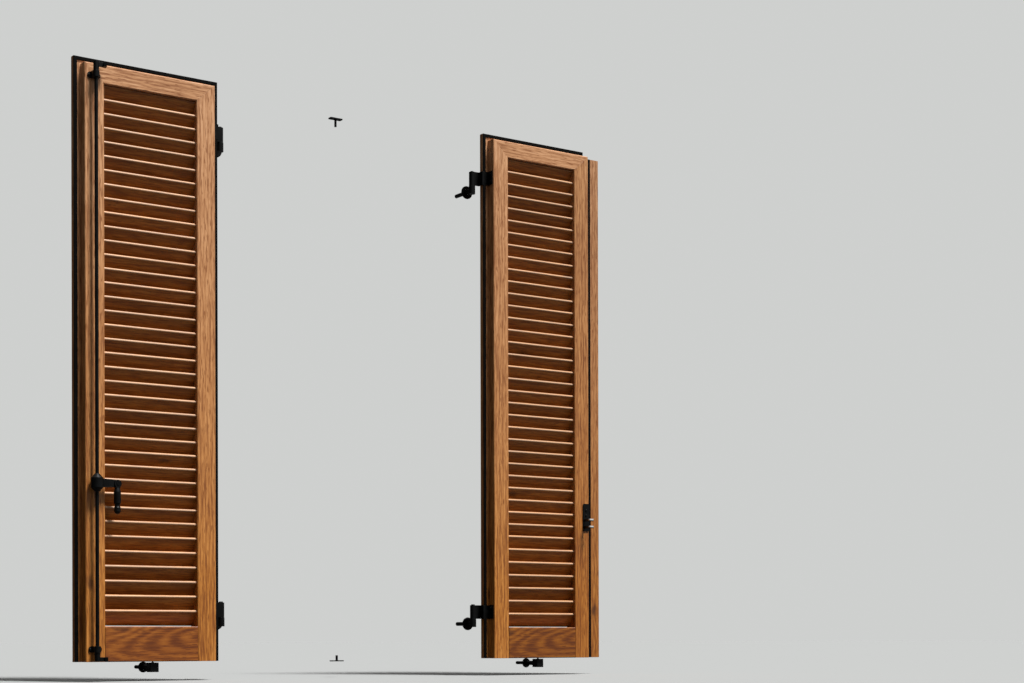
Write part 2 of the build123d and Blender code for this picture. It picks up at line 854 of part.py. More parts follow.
def catch_pin(side):
    x = across(side, hold_back_offset)
    tip = foot_z - catch_pin_gap
    with BuildPart() as piece:
        with BuildSketch(Plane.XY.offset(collar_foot())):
            with Locations((x, middle_y)):
                Circle(collar_diameter / 2)
        extrude(amount=collar_height)
        with BuildSketch(Plane.XY.offset(collar_foot() + collar_height)):
            with Locations((x, middle_y)):
                Circle(catch_pin_diameter / 2)
        extrude(amount=tip - collar_foot() - collar_height)
        chamfer(piece.faces().sort_by(Axis.Z)[-1].edges(), catch_pin_chamfer)
    return piece


def catch_spring(side):
    x = across(side, hold_back_offset)
    foot = block_top() - block_size + plug_height
    with BuildPart() as piece:
        with BuildSketch(Plane.XY.offset(foot)):
            with Locations((x, middle_y)):
                Circle(catch_pin_diameter / 2)
                Circle(catch_pin_diameter / 2 - spring_wire, mode=Mode.SUBTRACT)
        extrude(amount=collar_foot() - foot)
    return piece


def hold_back_plugs():
    foot = block_top() - block_size
    with BuildPart() as piece:
        with BuildSketch(Plane.XY.offset(foot)):
            with Locations(*[(across(side, hold_back_offset), middle_y) for side in (LEFT, RIGHT)]):
                Circle(collar_diameter / 2)
        extrude(amount=plug_height)
    return piece


def catch_cup(side):
    with BuildPart() as piece:
        with BuildSketch(Plane.XY.offset(foot_z)):
            with Locations((across(side, hold_back_offset), middle_y)):
                Circle(cup_diameter / 2)
        extrude(amount=cup_depth)
        with BuildSketch(Plane.XY.offset(foot_z)):
            with Locations((across(side, hold_back_offset), middle_y)):
                Circle(cup_diameter / 2 - cup_wall)
        extrude(amount=cup_depth - cup_wall, mode=Mode.SUBTRACT)
    return piece


os.makedirs("parts", exist_ok=True)

names = {LEFT: "left", RIGHT: "right"}
top_pilots = {LEFT: [(guide_screw_planes(), screw_length)], RIGHT: []}
meeting_pilots = {
    LEFT: top_pilots[LEFT],
    RIGHT: [(catch_screw_planes(), screw_length), (astragal_screw_planes(), long_screw_length)],
}
for side, name in names.items():
    hinge_mitre, free_mitre = corner_mitres(side)
    hinge_inner, free_inner = axis_to_body + stile_width, free_v[side] - stile_width
    hinge_flange, free_flange = axis_to_body - flange_lap, free_v[side] + free_lap[side]
    hinge_pilots = [(strap_screw_planes(side), screw_length)]
    keep(
        stile(side, hinge_inner, axis_to_body, hinge_flange, hinge_mitre, hinge_pilots),
        f"{name}_hinge_stile",
    )
    keep(
        stile(side, free_inner, free_v[side], free_flange, free_mitre, meeting_pilots[side]),
        f"{name}_meeting_stile",
    )
    keep(top_rail(side, top_pilots[side]), f"{name}_top_rail")
    keep(bottom_rail(side), f"{name}_bottom_rail")
    keep(slats(side), f"{name}_slats")
    keep(corner_dowels(side), f"{name}_corner_dowels")
    keep(perimeter_seal(side), f"{name}_seal")
    keep(screws(strap_screw_planes(side)), f"{name}_strap_screws")
    for level in ("upper", "lower"):
        keep(strap(side, level), f"{name}_{level}_strap")
        keep(pintle(side, level), f"{name}_{level}_pintle")
    keep(hold_back(side), f"{name}_hold_back")
    keep(catch_pin(side), f"{name}_catch_pin")
    keep(catch_spring(side), f"{name}_catch_spring")
    keep(catch_cup(side), f"{name}_catch_cup")

pintle_spots = [
    (across(side, 0), strap_z[level] - strap_height / 2 - stud_drop)
    for side in (LEFT, RIGHT)
    for level in ("lower", "upper")
]
block_spots = [(across(side, hold_back_offset), block_top() - block_size / 2) for side in (LEFT, RIGHT)]
keep(rosettes(pintle_spots, shank_diameter, rosette_diameter), "pintle_rosettes")
keep(rosettes(block_spots, block_arm_diameter, block_rosette_diameter), "hold_back_rosettes")
keep(hold_back_plugs(), "hold_back_plugs")
keep(keeper("upper"), "head_keeper")
keep(keeper("lower"), "sill_keeper")

keep(rod_guide("upper"), "upper_rod_guide")
keep(rod_guide("lower"), "lower_rod_guide")
keep(screws(guide_screw_planes()), "guide_screws")
keep(lock_rod(), "lock_rod")
keep(hook("upper"), "upper_hook")
keep(hook("lower"), "lower_hook")
keep(handle_carrier(), "handle_carrier")
keep(handle_pin(), "handle_pin")
keep(handle_grip(), "handle_grip")

keep(astragal(), "astragal")
keep(lap_seal(), "astragal_seal")
keep(screws(astragal_screw_planes(), long_screw_length), "astragal_screws")
keep(grip_catch(), "grip_catch")
keep(screws(catch_screw_planes()), "grip_catch_screws")
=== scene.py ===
import json
import math

import bmesh
import bpy
from mathutils import Matrix, Vector


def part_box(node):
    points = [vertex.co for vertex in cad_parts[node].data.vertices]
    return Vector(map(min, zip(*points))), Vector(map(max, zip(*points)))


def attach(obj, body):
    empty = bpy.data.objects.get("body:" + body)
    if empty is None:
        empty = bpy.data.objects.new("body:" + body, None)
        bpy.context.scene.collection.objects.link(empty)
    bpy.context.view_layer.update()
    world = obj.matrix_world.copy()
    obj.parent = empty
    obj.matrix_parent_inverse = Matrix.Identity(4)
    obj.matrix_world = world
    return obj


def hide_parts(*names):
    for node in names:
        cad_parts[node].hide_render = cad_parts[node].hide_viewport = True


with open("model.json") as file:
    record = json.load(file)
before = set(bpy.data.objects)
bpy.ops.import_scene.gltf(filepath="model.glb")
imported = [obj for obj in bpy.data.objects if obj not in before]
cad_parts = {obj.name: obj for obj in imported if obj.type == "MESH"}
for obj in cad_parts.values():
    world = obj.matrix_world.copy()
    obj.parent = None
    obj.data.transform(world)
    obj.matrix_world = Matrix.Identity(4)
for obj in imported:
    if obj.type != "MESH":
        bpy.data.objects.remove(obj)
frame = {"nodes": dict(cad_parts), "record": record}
nodes = frame["nodes"]
record = frame["record"]
bodyOf = {node: body for body, held in record["behaviour"]["bodies"].items() for node in held}
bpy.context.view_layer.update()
print("frame loaded")


# small helpers for shader trees
def addNode(tree, kind, values=None, **settings):
    node = tree.nodes.new("ShaderNode" + kind)
    for name, value in settings.items():
        setattr(node, name, value)
    for socket, value in (values or {}).items():
        node.inputs[socket].default_value = value
    return node


def wire(tree, fromNode, output, toNode, socket):
    tree.links.new(fromNode.outputs[output], toNode.inputs[socket])


def freshMaterial(name, surface):
    material = bpy.data.materials.new(name)
    material.use_nodes = True
    tree = material.node_tree
    tree.nodes.clear()
    shader = addNode(tree, "BsdfPrincipled", surface)
    output = addNode(tree, "OutputMaterial")
    wire(tree, shader, "BSDF", output, "Surface")
    return material, tree, shader


def colourSteps(tree, steps):
    ramp = addNode(tree, "ValToRGB")
    stops = ramp.color_ramp.elements
    while len(stops) < len(steps):
        stops.new(0.5)
    for stop, (place, colour) in zip(stops, steps):
        stop.position = place
        stop.color = (*colour, 1)
    return ramp


def fadeBetween(tree, start, end, most=1.0):
    # 0 at the first value, the most at the second, and level beyond both
    return addNode(tree, "MapRange", {"From Min": start, "From Max": end, "To Max": most})


def blend(tree, share, output, first, firstOutput, colour):
    # from the first colour to a flat one by a share
    mix = addNode(tree, "Mix", {7: (*colour, 1)}, data_type="RGBA")
    wire(tree, share, output, mix, 0)
    wire(tree, first, firstOutput, mix, 6)
    return mix


def axesOf(tree, place):
    parts = addNode(tree, "SeparateXYZ")
    wire(tree, place, "Object", parts, "Vector")
    return parts


def varyGloss(tree, noise, shader, least, most):
    gloss = addNode(tree, "MapRange", {"To Min": least, "To Max": most})
    wire(tree, noise, "Fac", gloss, "Value")
    wire(tree, gloss, "Result", shader, "Roughness")


def softEdges(tree, radius):
    return addNode(tree, "Bevel", {"Radius": radius}, samples=4)


def paint(name, material):
    piece = nodes[name]
    if not piece.data.materials:
        piece.data.materials.append(material)
    for slot in piece.material_slots:
        slot.material = material


# stained softwood: fine fibres and dark flecks along the board, faint growth rings, a few knots
timber = {
    "light": (0.58, 0.235, 0.046),
    "middle": (0.42, 0.146, 0.019),
    "dark": (0.21, 0.058, 0.006),
    "knot": (0.07, 0.020, 0.005),
    # colours toward the top of the frames, paler than below
    "upperLight": (0.68, 0.370, 0.190),
    "upperMiddle": (0.53, 0.255, 0.112),
    "upperDark": (0.30, 0.115, 0.038),
    "paleningFrom": 0.1,
    "paleningTo": 1.5,
    "ringScale": 30.0,
    "fibreScale": 270.0,
    "fibreStretch": 0.06,
    "fleckScale": 370.0,
    "fleckStretch": 0.09,
    "fleckFrom": 0.42,
    "fleckTo": 0.34,
    "fleckShare": 0.78,
    "cloudScale": 14.0,
    "cloudStretch": 0.25,
    "cloudShare": 0.25,
    "steps": (0.38, 0.50, 0.62),
    "knotCells": (9, 9, 3.0),
    "wobbleScale": 45.0,
    "knotWobble": 0.1,
    "knotFrom": 0.10,
    "knotTo": 0.03,
    "knotShare": 0.8,
    "knotReach": 0.35,
    "knotPull": 4.0,
    "pith": (0.03, 0.05, 0),
    "pithSqueeze": 0.4,
    "roughness": 0.42,
    "duller": 0.1,
    "glossier": 0.06,
    "coat": 0.12,
    "coatRoughness": 0.25,
    "bumpStrength": 0.35,
    "bump": 0.0003,
    "fleckDepth": 0.7,
    "edge": 0.0012,
}

# how far a board's rings lean, curl and show, and what its stain is multiplied by
plainBoard = {"lean": 0.03, "curl": 6.0, "rings": 0.1, "tint": (1, 1, 1)}

slatStain = {
    "light": (0.50, 0.200, 0.036),
    "middle": (0.38, 0.132, 0.018),
    "dark": (0.22, 0.064, 0.007),
    "scatter": (0.7, 0.7, 3.0),
    # painted highlight on the slats' noses, and where it stops under the top rail's shade
    "noseHighlight": (0.80, 0.560, 0.380),
    "highlightFrom": -0.0772,
    "highlightTo": -0.0790,
    "highlightMost": 0.55,
    "railShadeFrom": 1.425,
    "railShadeTo": 1.415,
    "slope": math.tan(math.radians(52)),
    "pitch": 0.0377,
    "firstNose": 1.402,
    "noseY": -0.075,
    "lowerDrift": 0.006,
    "toneSpread": 0.14,
}


def slatDraw(tree, place):
    # one random number for each slat, steady across its slanted width
    s = slatStain
    parts = axesOf(tree, place)
    lean = addNode(tree, "Math", {1: s["slope"]}, operation="MULTIPLY_ADD")
    wire(tree, parts, "Y", lean, 0)
    wire(tree, parts, "Z", lean, 2)
    nose = s["firstNose"] + s["noseY"] * s["slope"]
    count = addNode(tree, "Math", {1: 0.5 * s["pitch"] + s["lowerDrift"] - nose}, operation="ADD")
    wire(tree, lean, 0, count, 0)
    step = addNode(tree, "Math", {1: s["pitch"]}, operation="DIVIDE")
    wire(tree, count, 0, step, 0)
    whole = addNode(tree, "Math", operation="FLOOR")
    wire(tree, step, 0, whole, 0)
    draw = addNode(tree, "TexWhiteNoise", noise_dimensions="1D")
    wire(tree, whole, 0, draw, "W")
    return draw


def highlitNoses(tree, place, colour):
    # painted highlight along the slats' front edges, left off the top slat, which lies in the top rail's
    # shade
    s = slatStain
    parts = axesOf(tree, place)
    share = fadeBetween(tree, s["highlightFrom"], s["highlightTo"], s["highlightMost"])
    wire(tree, parts, "Y", share, "Value")
    outsideRailShade = fadeBetween(tree, s["railShadeFrom"], s["railShadeTo"])
    wire(tree, parts, "Z", outsideRailShade, "Value")
    shown = addNode(tree, "Math", operation="MULTIPLY")
    wire(tree, share, "Result", shown, 0)
    wire(tree, outsideRailShade, "Result", shown, 1)
    noseHighlight = addNode(tree, "MixRGB", {2: (*s["noseHighlight"], 1)})
    wire(tree, shown, 0, noseHighlight, 0)
    wire(tree, colour, "Color", noseHighlight, 1)
    return noseHighlight


def stretched(tree, source, scale, stretch, detail):
    squeeze = addNode(tree, "Mapping", {"Scale": (1, 1, stretch)})
    wire(tree, source, "Vector", squeeze, "Vector")
    noise = addNode(tree, "TexNoise", {"Scale": scale, "Detail": detail, "Roughness": 0.6})
    wire(tree, squeeze, "Vector", noise, "Vector")
    return noise


def stainedTimber(name, along, offset, slatted=False, **changes):
    t = timber
    b = {**plainBoard, **changes}
    colours = slatStain if slatted else timber
    material, tree, shader = freshMaterial(
        name,
        {"Coat Weight": t["coat"], "Coat Roughness": t["coatRoughness"], "IOR": 1.5},
    )
    place = addNode(tree, "TexCoord")
    source = addNode(tree, "Mapping", {"Location": offset})
    if along == "X":
        source.inputs["Rotation"].default_value = (0, math.radians(90), 0)  # brings the grain to Z
    wire(tree, place, "Object", source, "Vector")
    if slatted:
        draw = slatDraw(tree, place)
        spread = addNode(tree, "VectorMath", {1: slatStain["scatter"]}, operation="MULTIPLY")
        wire(tree, draw, "Color", spread, 0)
        moved = addNode(tree, "VectorMath", operation="ADD")
        wire(tree, source, "Vector", moved, 0)
        wire(tree, spread, "Vector", moved, 1)
        source = moved

    # knots are sparse cells, long along the grain, and the rings bend round them
    wobble = addNode(tree, "TexNoise", {"Scale": t["wobbleScale"], "Detail": 2.0})
    wire(tree, source, "Vector", wobble, "Vector")
    cells = addNode(tree, "Mapping", {"Scale": t["knotCells"]})
    wire(tree, source, "Vector", cells, "Vector")
    nudge = addNode(tree, "VectorMath", {1: (t["knotWobble"],) * 3}, operation="MULTIPLY_ADD")
    wire(tree, wobble, "Color", nudge, 0)
    wire(tree, cells, "Vector", nudge, 2)
    knots = addNode(tree, "TexVoronoi", {"Scale": 1.0, "Randomness": 1.0})
    wire(tree, nudge, "Vector", knots, "Vector")
    knotMask = fadeBetween(tree, t["knotFrom"], t["knotTo"], t["knotShare"])
    wire(tree, knots, "Distance", knotMask, "Value")
    knotPull = fadeBetween(tree, t["knotReach"], t["knotTo"], t["knotPull"])
    knotPull.interpolation_type = "SMOOTHSTEP"
    wire(tree, knots, "Distance", knotPull, "Value")

    # growth rings round a pith that leans away from the board, so that flat faces show arches
    pith = addNode(
        tree,
        "Mapping",
        {"Location": t["pith"], "Rotation": (b["lean"], b["lean"], 0), "Scale": (1, 1, t["pithSqueeze"])},
    )
    wire(tree, source, "Vector", pith, "Vector")
    rings = addNode(
        tree,
        "TexWave",
        {
            "Scale": t["ringScale"],
            "Distortion": b["curl"],
            "Detail": 2.0,
            "Detail Scale": 0.5,
            "Detail Roughness": 0.45,
        },
        wave_type="RINGS",
        rings_direction="Z",
    )
    wire(tree, pith, "Vector", rings, "Vector")
    wire(tree, knotPull, "Result", rings, "Phase Offset")

    fibres = stretched(tree, source, t["fibreScale"], t["fibreStretch"], 5.0)
    flecks = stretched(tree, source, t["fleckScale"], t["fleckStretch"], 1.0)
    clouds = stretched(tree, source, t["cloudScale"], t["cloudStretch"], 3.0)

    mixed = addNode(tree, "Mix", {0: b["rings"]}, data_type="FLOAT")
    wire(tree, fibres, "Fac", mixed, 2)
    wire(tree, rings, "Fac", mixed, 3)
    shaded = addNode(tree, "Mix", {0: t["cloudShare"]}, data_type="FLOAT")
    wire(tree, mixed, 0, shaded, 2)
    wire(tree, clouds, "Fac", shaded, 3)
    grain = colourSteps(tree, list(zip(t["steps"], (colours["dark"], colours["middle"], colours["light"]))))
    wire(tree, shaded, 0, grain, "Fac")
    colour = grain

    # the frames turn paler toward the top
    if not slatted:
        towardTop = fadeBetween(tree, t["paleningFrom"], t["paleningTo"])
        wire(tree, axesOf(tree, place), "Z", towardTop, "Value")
        pale = (t["upperDark"], t["upperMiddle"], t["upperLight"])
        paler = colourSteps(tree, list(zip(t["steps"], pale)))
        wire(tree, shaded, 0, paler, "Fac")
        colour = addNode(tree, "Mix", data_type="RGBA")
        wire(tree, towardTop, "Result", colour, 0)
        wire(tree, grain, "Color", colour, 6)
        wire(tree, paler, "Color", colour, 7)

    fleckMask = fadeBetween(tree, t["fleckFrom"], t["fleckTo"], t["fleckShare"])
    wire(tree, flecks, "Fac", fleckMask, "Value")
    flecked = blend(tree, fleckMask, "Result", colour, "Color" if slatted else 2, colours["dark"])
    knotted = blend(tree, knotMask, "Result", flecked, 2, t["knot"])
    if slatted:
        toned = addNode(tree, "HueSaturation")
        wire(tree, knotted, 2, toned, "Color")
        vary = addNode(
            tree,
            "MapRange",
            {"To Min": 1 - slatStain["toneSpread"], "To Max": 1 + slatStain["toneSpread"]},
        )
        wire(tree, draw, "Value", vary, "Value")
        wire(tree, vary, "Result", toned, "Value")
        # adds the painted highlight on the slats' noses
        toned = highlitNoses(tree, place, toned)
    else:
        toned = addNode(tree, "MixRGB", {0: 1.0, 2: (*b["tint"], 1)}, blend_type="MULTIPLY")
        wire(tree, knotted, 2, toned, 1)
    wire(tree, toned, 0, shader, "Base Color")

    varyGloss(tree, fibres, shader, t["roughness"] + t["duller"], t["roughness"] - t["glossier"])

    depth = addNode(tree, "Math", {1: -t["fleckDepth"]}, operation="MULTIPLY_ADD")
    wire(tree, fleckMask, "Result", depth, 0)
    wire(tree, fibres, "Fac", depth, 2)
    relief = addNode(tree, "Bump", {"Strength": t["bumpStrength"], "Distance": t["bump"]})
    wire(tree, depth, 0, relief, "Height")
    wire(tree, softEdges(tree, t["edge"]), "Normal", relief, "Normal")
    wire(tree, relief, "Normal", shader, "Normal")
    return material


# the bottom rails are cut near the pith, so that their figure arches
archedRail = {"lean": 0.35, "curl": 4.0, "rings": 0.19}

# each board's grain direction, where it was cut from, and what sets it apart from a plain one
boards = {
    "left_hinge_stile": ("Z", (0.31, 0.0, 0.0), {}),
    "left_meeting_stile": ("Z", (0.87, 0.2, 0.4), {}),
    "left_top_rail": ("X", (0.1, 0.5, 0.7), {}),
    "left_bottom_rail": ("X", (0.04, -0.02, -0.22), {**archedRail, "tint": (0.59, 0.46, 0.26)}),
    "right_hinge_stile": ("Z", (0.12, 0.6, 0.9), {}),
    "right_meeting_stile": ("Z", (0.66, 0.3, 0.1), {"tint": (0.84, 0.78, 0.64)}),
    "right_top_rail": ("X", (0.9, 0.8, 0.3), {}),
    "right_bottom_rail": ("X", (0.05, -0.02, 1.05), {**archedRail, "tint": (0.53, 0.42, 0.15)}),
    "astragal": ("Z", (0.45, 0.9, 0.6), {"tint": (0.80, 0.78, 0.74)}),
}
for board, (along, offset, changes) in boards.items():
    paint(board, stainedTimber(board + "Timber", along, offset, **changes))
for side, offset in (("left", (0.2, 0.4, 0.1)), ("right", (0.5, 0.1, 0.8))):
    paint(side + "_slats", stainedTimber(side + "SlatTimber", "X", offset, slatted=True))
print("timber painted")


# satin black ironmongery, dusty in patches, with its edges just softened
ironmongery = {
    "black": (0.0014, 0.0016, 0.0016),
    "dusty": (0.0040, 0.0043, 0.0042),
    "roughness": 0.36,
    "specular": 0.18,
    "patch": 35.0,
    "glossier": 0.1,
    "duller": 0.14,
    "grit": 420.0,
    "gritStrength": 0.2,
    "gritDepth": 0.0002,
    "edge": 0.0006,
}

# painted highlight on the upper half of each finger of the grip's catch, over metal that the grip has also
# rubbed bare
fingerHighlight = {
    # the zinc colour is bare metal brightened into the painted highlight
    "zinc": (0.62, 0.62, 0.60),
    "firstFinger": 0.304,
    "pitch": 0.022,
    "halfFrom": 0.12,
    "halfTo": 0.18,
    "frontFrom": -0.108,
    "frontTo": -0.114,
    "most": 0.9,
}


def highlitFingers(tree, place, colour):
    v = fingerHighlight
    parts = axesOf(tree, place)
    front = fadeBetween(tree, v["frontFrom"], v["frontTo"], v["most"])
    wire(tree, parts, "Y", front, "Value")
    count = addNode(tree, "Math", {1: v["firstFinger"]}, operation="SUBTRACT")
    wire(tree, parts, "Z", count, 0)
    step = addNode(tree, "Math", {1: v["pitch"]}, operation="DIVIDE")
    wire(tree, count, 0, step, 0)
    within = addNode(tree, "Math", operation="FRACT")
    wire(tree, step, 0, within, 0)
    upper = fadeBetween(tree, v["halfFrom"], v["halfTo"])
    wire(tree, within, 0, upper, "Value")
    share = addNode(tree, "Math", operation="MULTIPLY")
    wire(tree, front, "Result", share, 0)
    wire(tree, upper, "Result", share, 1)
    return blend(tree, share, 0, colour, "Color", v["zinc"])


def blackIron(name, fingers=False):
    v = ironmongery
    material, tree, shader = freshMaterial(name, {"IOR": 1.5, "Specular IOR Level": v["specular"]})
    place = addNode(tree, "TexCoord")
    grit = addNode(tree, "TexNoise", {"Scale": v["grit"], "Detail": 4.0})
    wire(tree, place, "Object", grit, "Vector")
    patches = addNode(tree, "TexNoise", {"Scale": v["patch"], "Detail": 3.0})
    wire(tree, place, "Object", patches, "Vector")
    colour = colourSteps(tree, [(0.35, v["black"]), (0.85, v["dusty"])])
    wire(tree, patches, "Fac", colour, "Fac")
    if fingers:
        # painted highlight on the catch's fingers
        wire(tree, highlitFingers(tree, place, colour), 2, shader, "Base Color")
    else:
        wire(tree, colour, "Color", shader, "Base Color")
    varyGloss(tree, patches, shader, v["roughness"] - v["glossier"], v["roughness"] + v["duller"])
    relief = addNode(tree, "Bump", {"Strength": v["gritStrength"], "Distance": v["gritDepth"]})
    wire(tree, grit, "Fac", relief, "Height")
    wire(tree, softEdges(tree, v["edge"]), "Normal", relief, "Normal")
    wire(tree, relief, "Normal", shader, "Normal")
    return material


# black extruded seal, dull and a little dusty
seal = {
    "black": (0.0010, 0.0010, 0.0009),
    "dusty": (0.0045, 0.0040, 0.0036),
    "dust": 90.0,
    "specular": 0.06,
    "roughness": (0.6, 0.85),
    "bumpStrength": 0.2,
    "bump": 0.0002,
}


def sealRubber():
    v = seal
    material, tree, shader = freshMaterial("sealRubber", {"IOR": 1.45, "Specular IOR Level": v["specular"]})
    place = addNode(tree, "TexCoord")
    dust = addNode(tree, "TexNoise", {"Scale": v["dust"], "Detail": 5.0})
    wire(tree, place, "Object", dust, "Vector")
    colour = colourSteps(tree, [(0.3, v["black"]), (0.9, v["dusty"])])
    wire(tree, dust, "Fac", colour, "Fac")
    wire(tree, colour, "Color", shader, "Base Color")
    varyGloss(tree, dust, shader, *v["roughness"])
    relief = addNode(tree, "Bump", {"Strength": v["bumpStrength"], "Distance": v["bump"]})
    wire(tree, dust, "Fac", relief, "Height")
    wire(tree, relief, "Normal", shader, "Normal")
    return material


# zinc plated and oiled steel of the catches
steel = {"cloud": 160.0, "glossier": 0.08, "duller": 0.1}
zincPlate = {"dark": (0.50, 0.51, 0.52), "light": (0.66, 0.67, 0.68), "roughness": 0.34}
oiledSteel = {"dark": (0.22, 0.22, 0.23), "light": (0.36, 0.36, 0.37), "roughness": 0.32}


def platedSteel(name, finish):
    material, tree, shader = freshMaterial(name, {"Metallic": 1.0})
    place = addNode(tree, "TexCoord")
    cloud = addNode(tree, "TexNoise", {"Scale": steel["cloud"], "Detail": 4.0})
    wire(tree, place, "Object", cloud, "Vector")
    colour = colourSteps(tree, [(0.3, finish["dark"]), (0.8, finish["light"])])
    wire(tree, cloud, "Fac", colour, "Fac")
    wire(tree, colour, "Color", shader, "Base Color")
    least, most = finish["roughness"] - steel["glossier"], finish["roughness"] + steel["duller"]
    varyGloss(tree, cloud, shader, least, most)
    return material


# bare beech of the dowels
beech = {"dark": (0.42, 0.25, 0.13), "light": (0.62, 0.42, 0.25), "fleck": 220.0, "roughness": 0.6}


def plainBeech():
    material, tree, shader = freshMaterial("plainBeech", {"Roughness": beech["roughness"]})
    place = addNode(tree, "TexCoord")
    fleck = addNode(tree, "TexNoise", {"Scale": beech["fleck"], "Detail": 4.0})
    wire(tree, place, "Object", fleck, "Vector")
    colour = colourSteps(tree, [(0.3, beech["dark"]), (0.8, beech["light"])])
    wire(tree, fleck, "Fac", colour, "Fac")
    wire(tree, colour, "Color", shader, "Base Color")
    return material


iron = blackIron("blackIron")
springSteel = platedSteel("oiledSteel", oiledSteel)
finishes = {
    "black_steel": iron,
    "black_screw": iron,
    "black_rubber": sealRubber(),
    "zinc_steel": platedSteel("zincPlate", zincPlate),
    "spring_steel": springSteel,
    "dowel_wood": plainBeech(),
}
for entry in record["subparts"]:
    if entry["material_slot"] in finishes:
        paint(entry["node"], finishes[entry["material_slot"]])
# the grip's catch gets the painted highlight on its fingers
paint("grip_catch", blackIron("highlitIron", fingers=True))
print("ironmongery, seals and catches painted")


# small helpers for modelled pieces
def editMesh(piece):
    bpy.ops.object.select_all(action="DESELECT")
    piece.select_set(True)
    bpy.context.view_layer.objects.active = piece
    bpy.ops.object.mode_set(mode="EDIT")
    return bmesh.from_edit_mesh(piece.data)


def chooseFaces(mesh, chosen):
    bpy.ops.mesh.select_mode(type="FACE")
    bpy.ops.mesh.select_all(action="DESELECT")
    for face in mesh.faces:
        face.select_set(chosen(face))
    mesh.select_flush_mode()


def applyModifier(piece, kind, **settings):
    bpy.context.view_layer.objects.active = piece
    modifier = piece.modifiers.new(kind.title(), kind)
    for name, value in settings.items():
        setattr(modifier, name, value)
    bpy.ops.object.modifier_apply(modifier=modifier.name)


def settle(piece, name):
    bpy.ops.object.select_all(action="DESELECT")
    piece.select_set(True)
    bpy.context.view_layer.objects.active = piece
    bpy.ops.object.transform_apply(location=True, rotation=True, scale=True)
    piece.name = name
    return piece


def joined(pieces, name):
    bpy.ops.object.select_all(action="DESELECT")
    for piece in pieces:
        piece.select_set(True)
    bpy.context.view_layer.objects.active = pieces[0]
    bpy.ops.object.join()
    return settle(bpy.context.object, name)


def closeUp(piece):
    editMesh(piece)
    bpy.ops.mesh.select_all(action="SELECT")
    bpy.ops.mesh.remove_doubles(threshold=0.000005)
    bpy.ops.mesh.fill_holes(sides=0)
    bpy.ops.mesh.select_all(action="SELECT")
    bpy.ops.mesh.normals_make_consistent(inside=False)
    bpy.ops.object.mode_set(mode="OBJECT")


def coil(name, ring, wireRadius, sides, pitch, turns, steps):
    bpy.ops.object.select_all(action="DESELECT")
    bpy.ops.mesh.primitive_circle_add(vertices=sides, radius=wireRadius, fill_type="NOTHING")
    piece = bpy.context.object
    editMesh(piece)
    bpy.ops.mesh.select_all(action="SELECT")
    bpy.ops.transform.rotate(value=math.radians(90), orient_axis="X", center_override=(0, 0, 0))
    bpy.ops.transform.translate(value=(ring, 0, 0))
    bpy.ops.object.mode_set(mode="OBJECT")
    applyModifier(
        piece,
        "SCREW",
        axis="Z",
        angle=math.radians(360),
        screw_offset=pitch,
        iterations=turns,
        steps=steps,
        render_steps=steps,
    )
    closeUp(piece)
    return settle(piece, name)


# pan-head screws with a cross recess and a rolled thread
screwShape = {
    "headRadius": 0.00375,
    "headHeight": 0.0020,
    "headRound": 0.0011,
    "headSides": 28,
    "coreRadius": 0.00145,
    "coreSides": 16,
    "threadReach": 0.00045,
    "threadSides": 3,
    "threadSteps": 14,
    "pitch": 0.0014,
    "plainShank": 0.003,
    "pointLength": 0.0035,
    "recessWidth": 0.0009,
    "recessReach": 0.0021,
    "recessDepth": 0.0011,
    "recessTaper": (0.45, 0.7, 1),
    "pointTaper": 0.12,
    "smoothUnder": 35,
    "turnBetween": 37.0,
}


def screwHead():
    s = screwShape
    bpy.ops.object.select_all(action="DESELECT")
    bpy.ops.mesh.primitive_cylinder_add(
        vertices=s["headSides"],
        radius=s["headRadius"],
        depth=s["headHeight"],
        location=(0, 0, s["headHeight"] / 2),
    )
    head = settle(bpy.context.object, "screwHead")
    mesh = editMesh(head)
    chooseFaces(mesh, lambda face: face.normal.z > 0.9)
    bpy.ops.mesh.bevel(offset=s["headRound"], segments=3, affect="EDGES", clamp_overlap=True)
    bpy.ops.object.mode_set(mode="OBJECT")
    for turn in (0, 90):
        bpy.ops.object.select_all(action="DESELECT")
        bpy.ops.mesh.primitive_cube_add(size=1)
        cutter = bpy.context.object
        cutter.scale = (2 * s["recessReach"], s["recessWidth"], 2 * s["recessDepth"])
        cutter.rotation_euler = (0, 0, math.radians(turn))
        cutter.location = (0, 0, s["headHeight"])
        mesh = editMesh(cutter)
        chooseFaces(mesh, lambda face: face.normal.z < -0.9)
        bpy.ops.transform.resize(value=s["recessTaper"], center_override=cutter.location)
        bpy.ops.object.mode_set(mode="OBJECT")
        applyModifier(head, "BOOLEAN", operation="DIFFERENCE", solver="EXACT", object=cutter)
        bpy.data.objects.remove(cutter, do_unlink=True)
    return head


def screwShank(length):
    s = screwShape
    body = length - s["pointLength"]
    bpy.ops.object.select_all(action="DESELECT")
    bpy.ops.mesh.primitive_cylinder_add(
        vertices=s["coreSides"], radius=s["coreRadius"], depth=body, location=(0, 0, -body / 2)
    )
    shank = settle(bpy.context.object, "screwShank")
    mesh = editMesh(shank)
    chooseFaces(mesh, lambda face: face.normal.z < -0.9)
    bpy.ops.mesh.extrude_region_move(TRANSFORM_OT_translate={"value": (0, 0, -s["pointLength"])})
    bpy.ops.transform.resize(value=(s["pointTaper"], s["pointTaper"], 1), center_override=(0, 0, 0))
    bpy.ops.object.mode_set(mode="OBJECT")
    return shank


def modelScrew(length):
    s = screwShape
    turns = int((length - s["plainShank"] - s["pointLength"]) / s["pitch"])
    sides, steps = s["threadSides"], s["threadSteps"]
    thread = coil("screwThread", s["coreRadius"], s["threadReach"], sides, s["pitch"], turns, steps)
    thread.location.z = -s["plainShank"] - turns * s["pitch"]
    screw = joined([screwHead(), screwShank(length), settle(thread, "screwThread")], "modelScrew")
    bpy.ops.object.shade_smooth_by_angle(angle=math.radians(s["smoothUnder"]))
    screw.data.materials.clear()
    screw.data.materials.append(iron)
    return screw


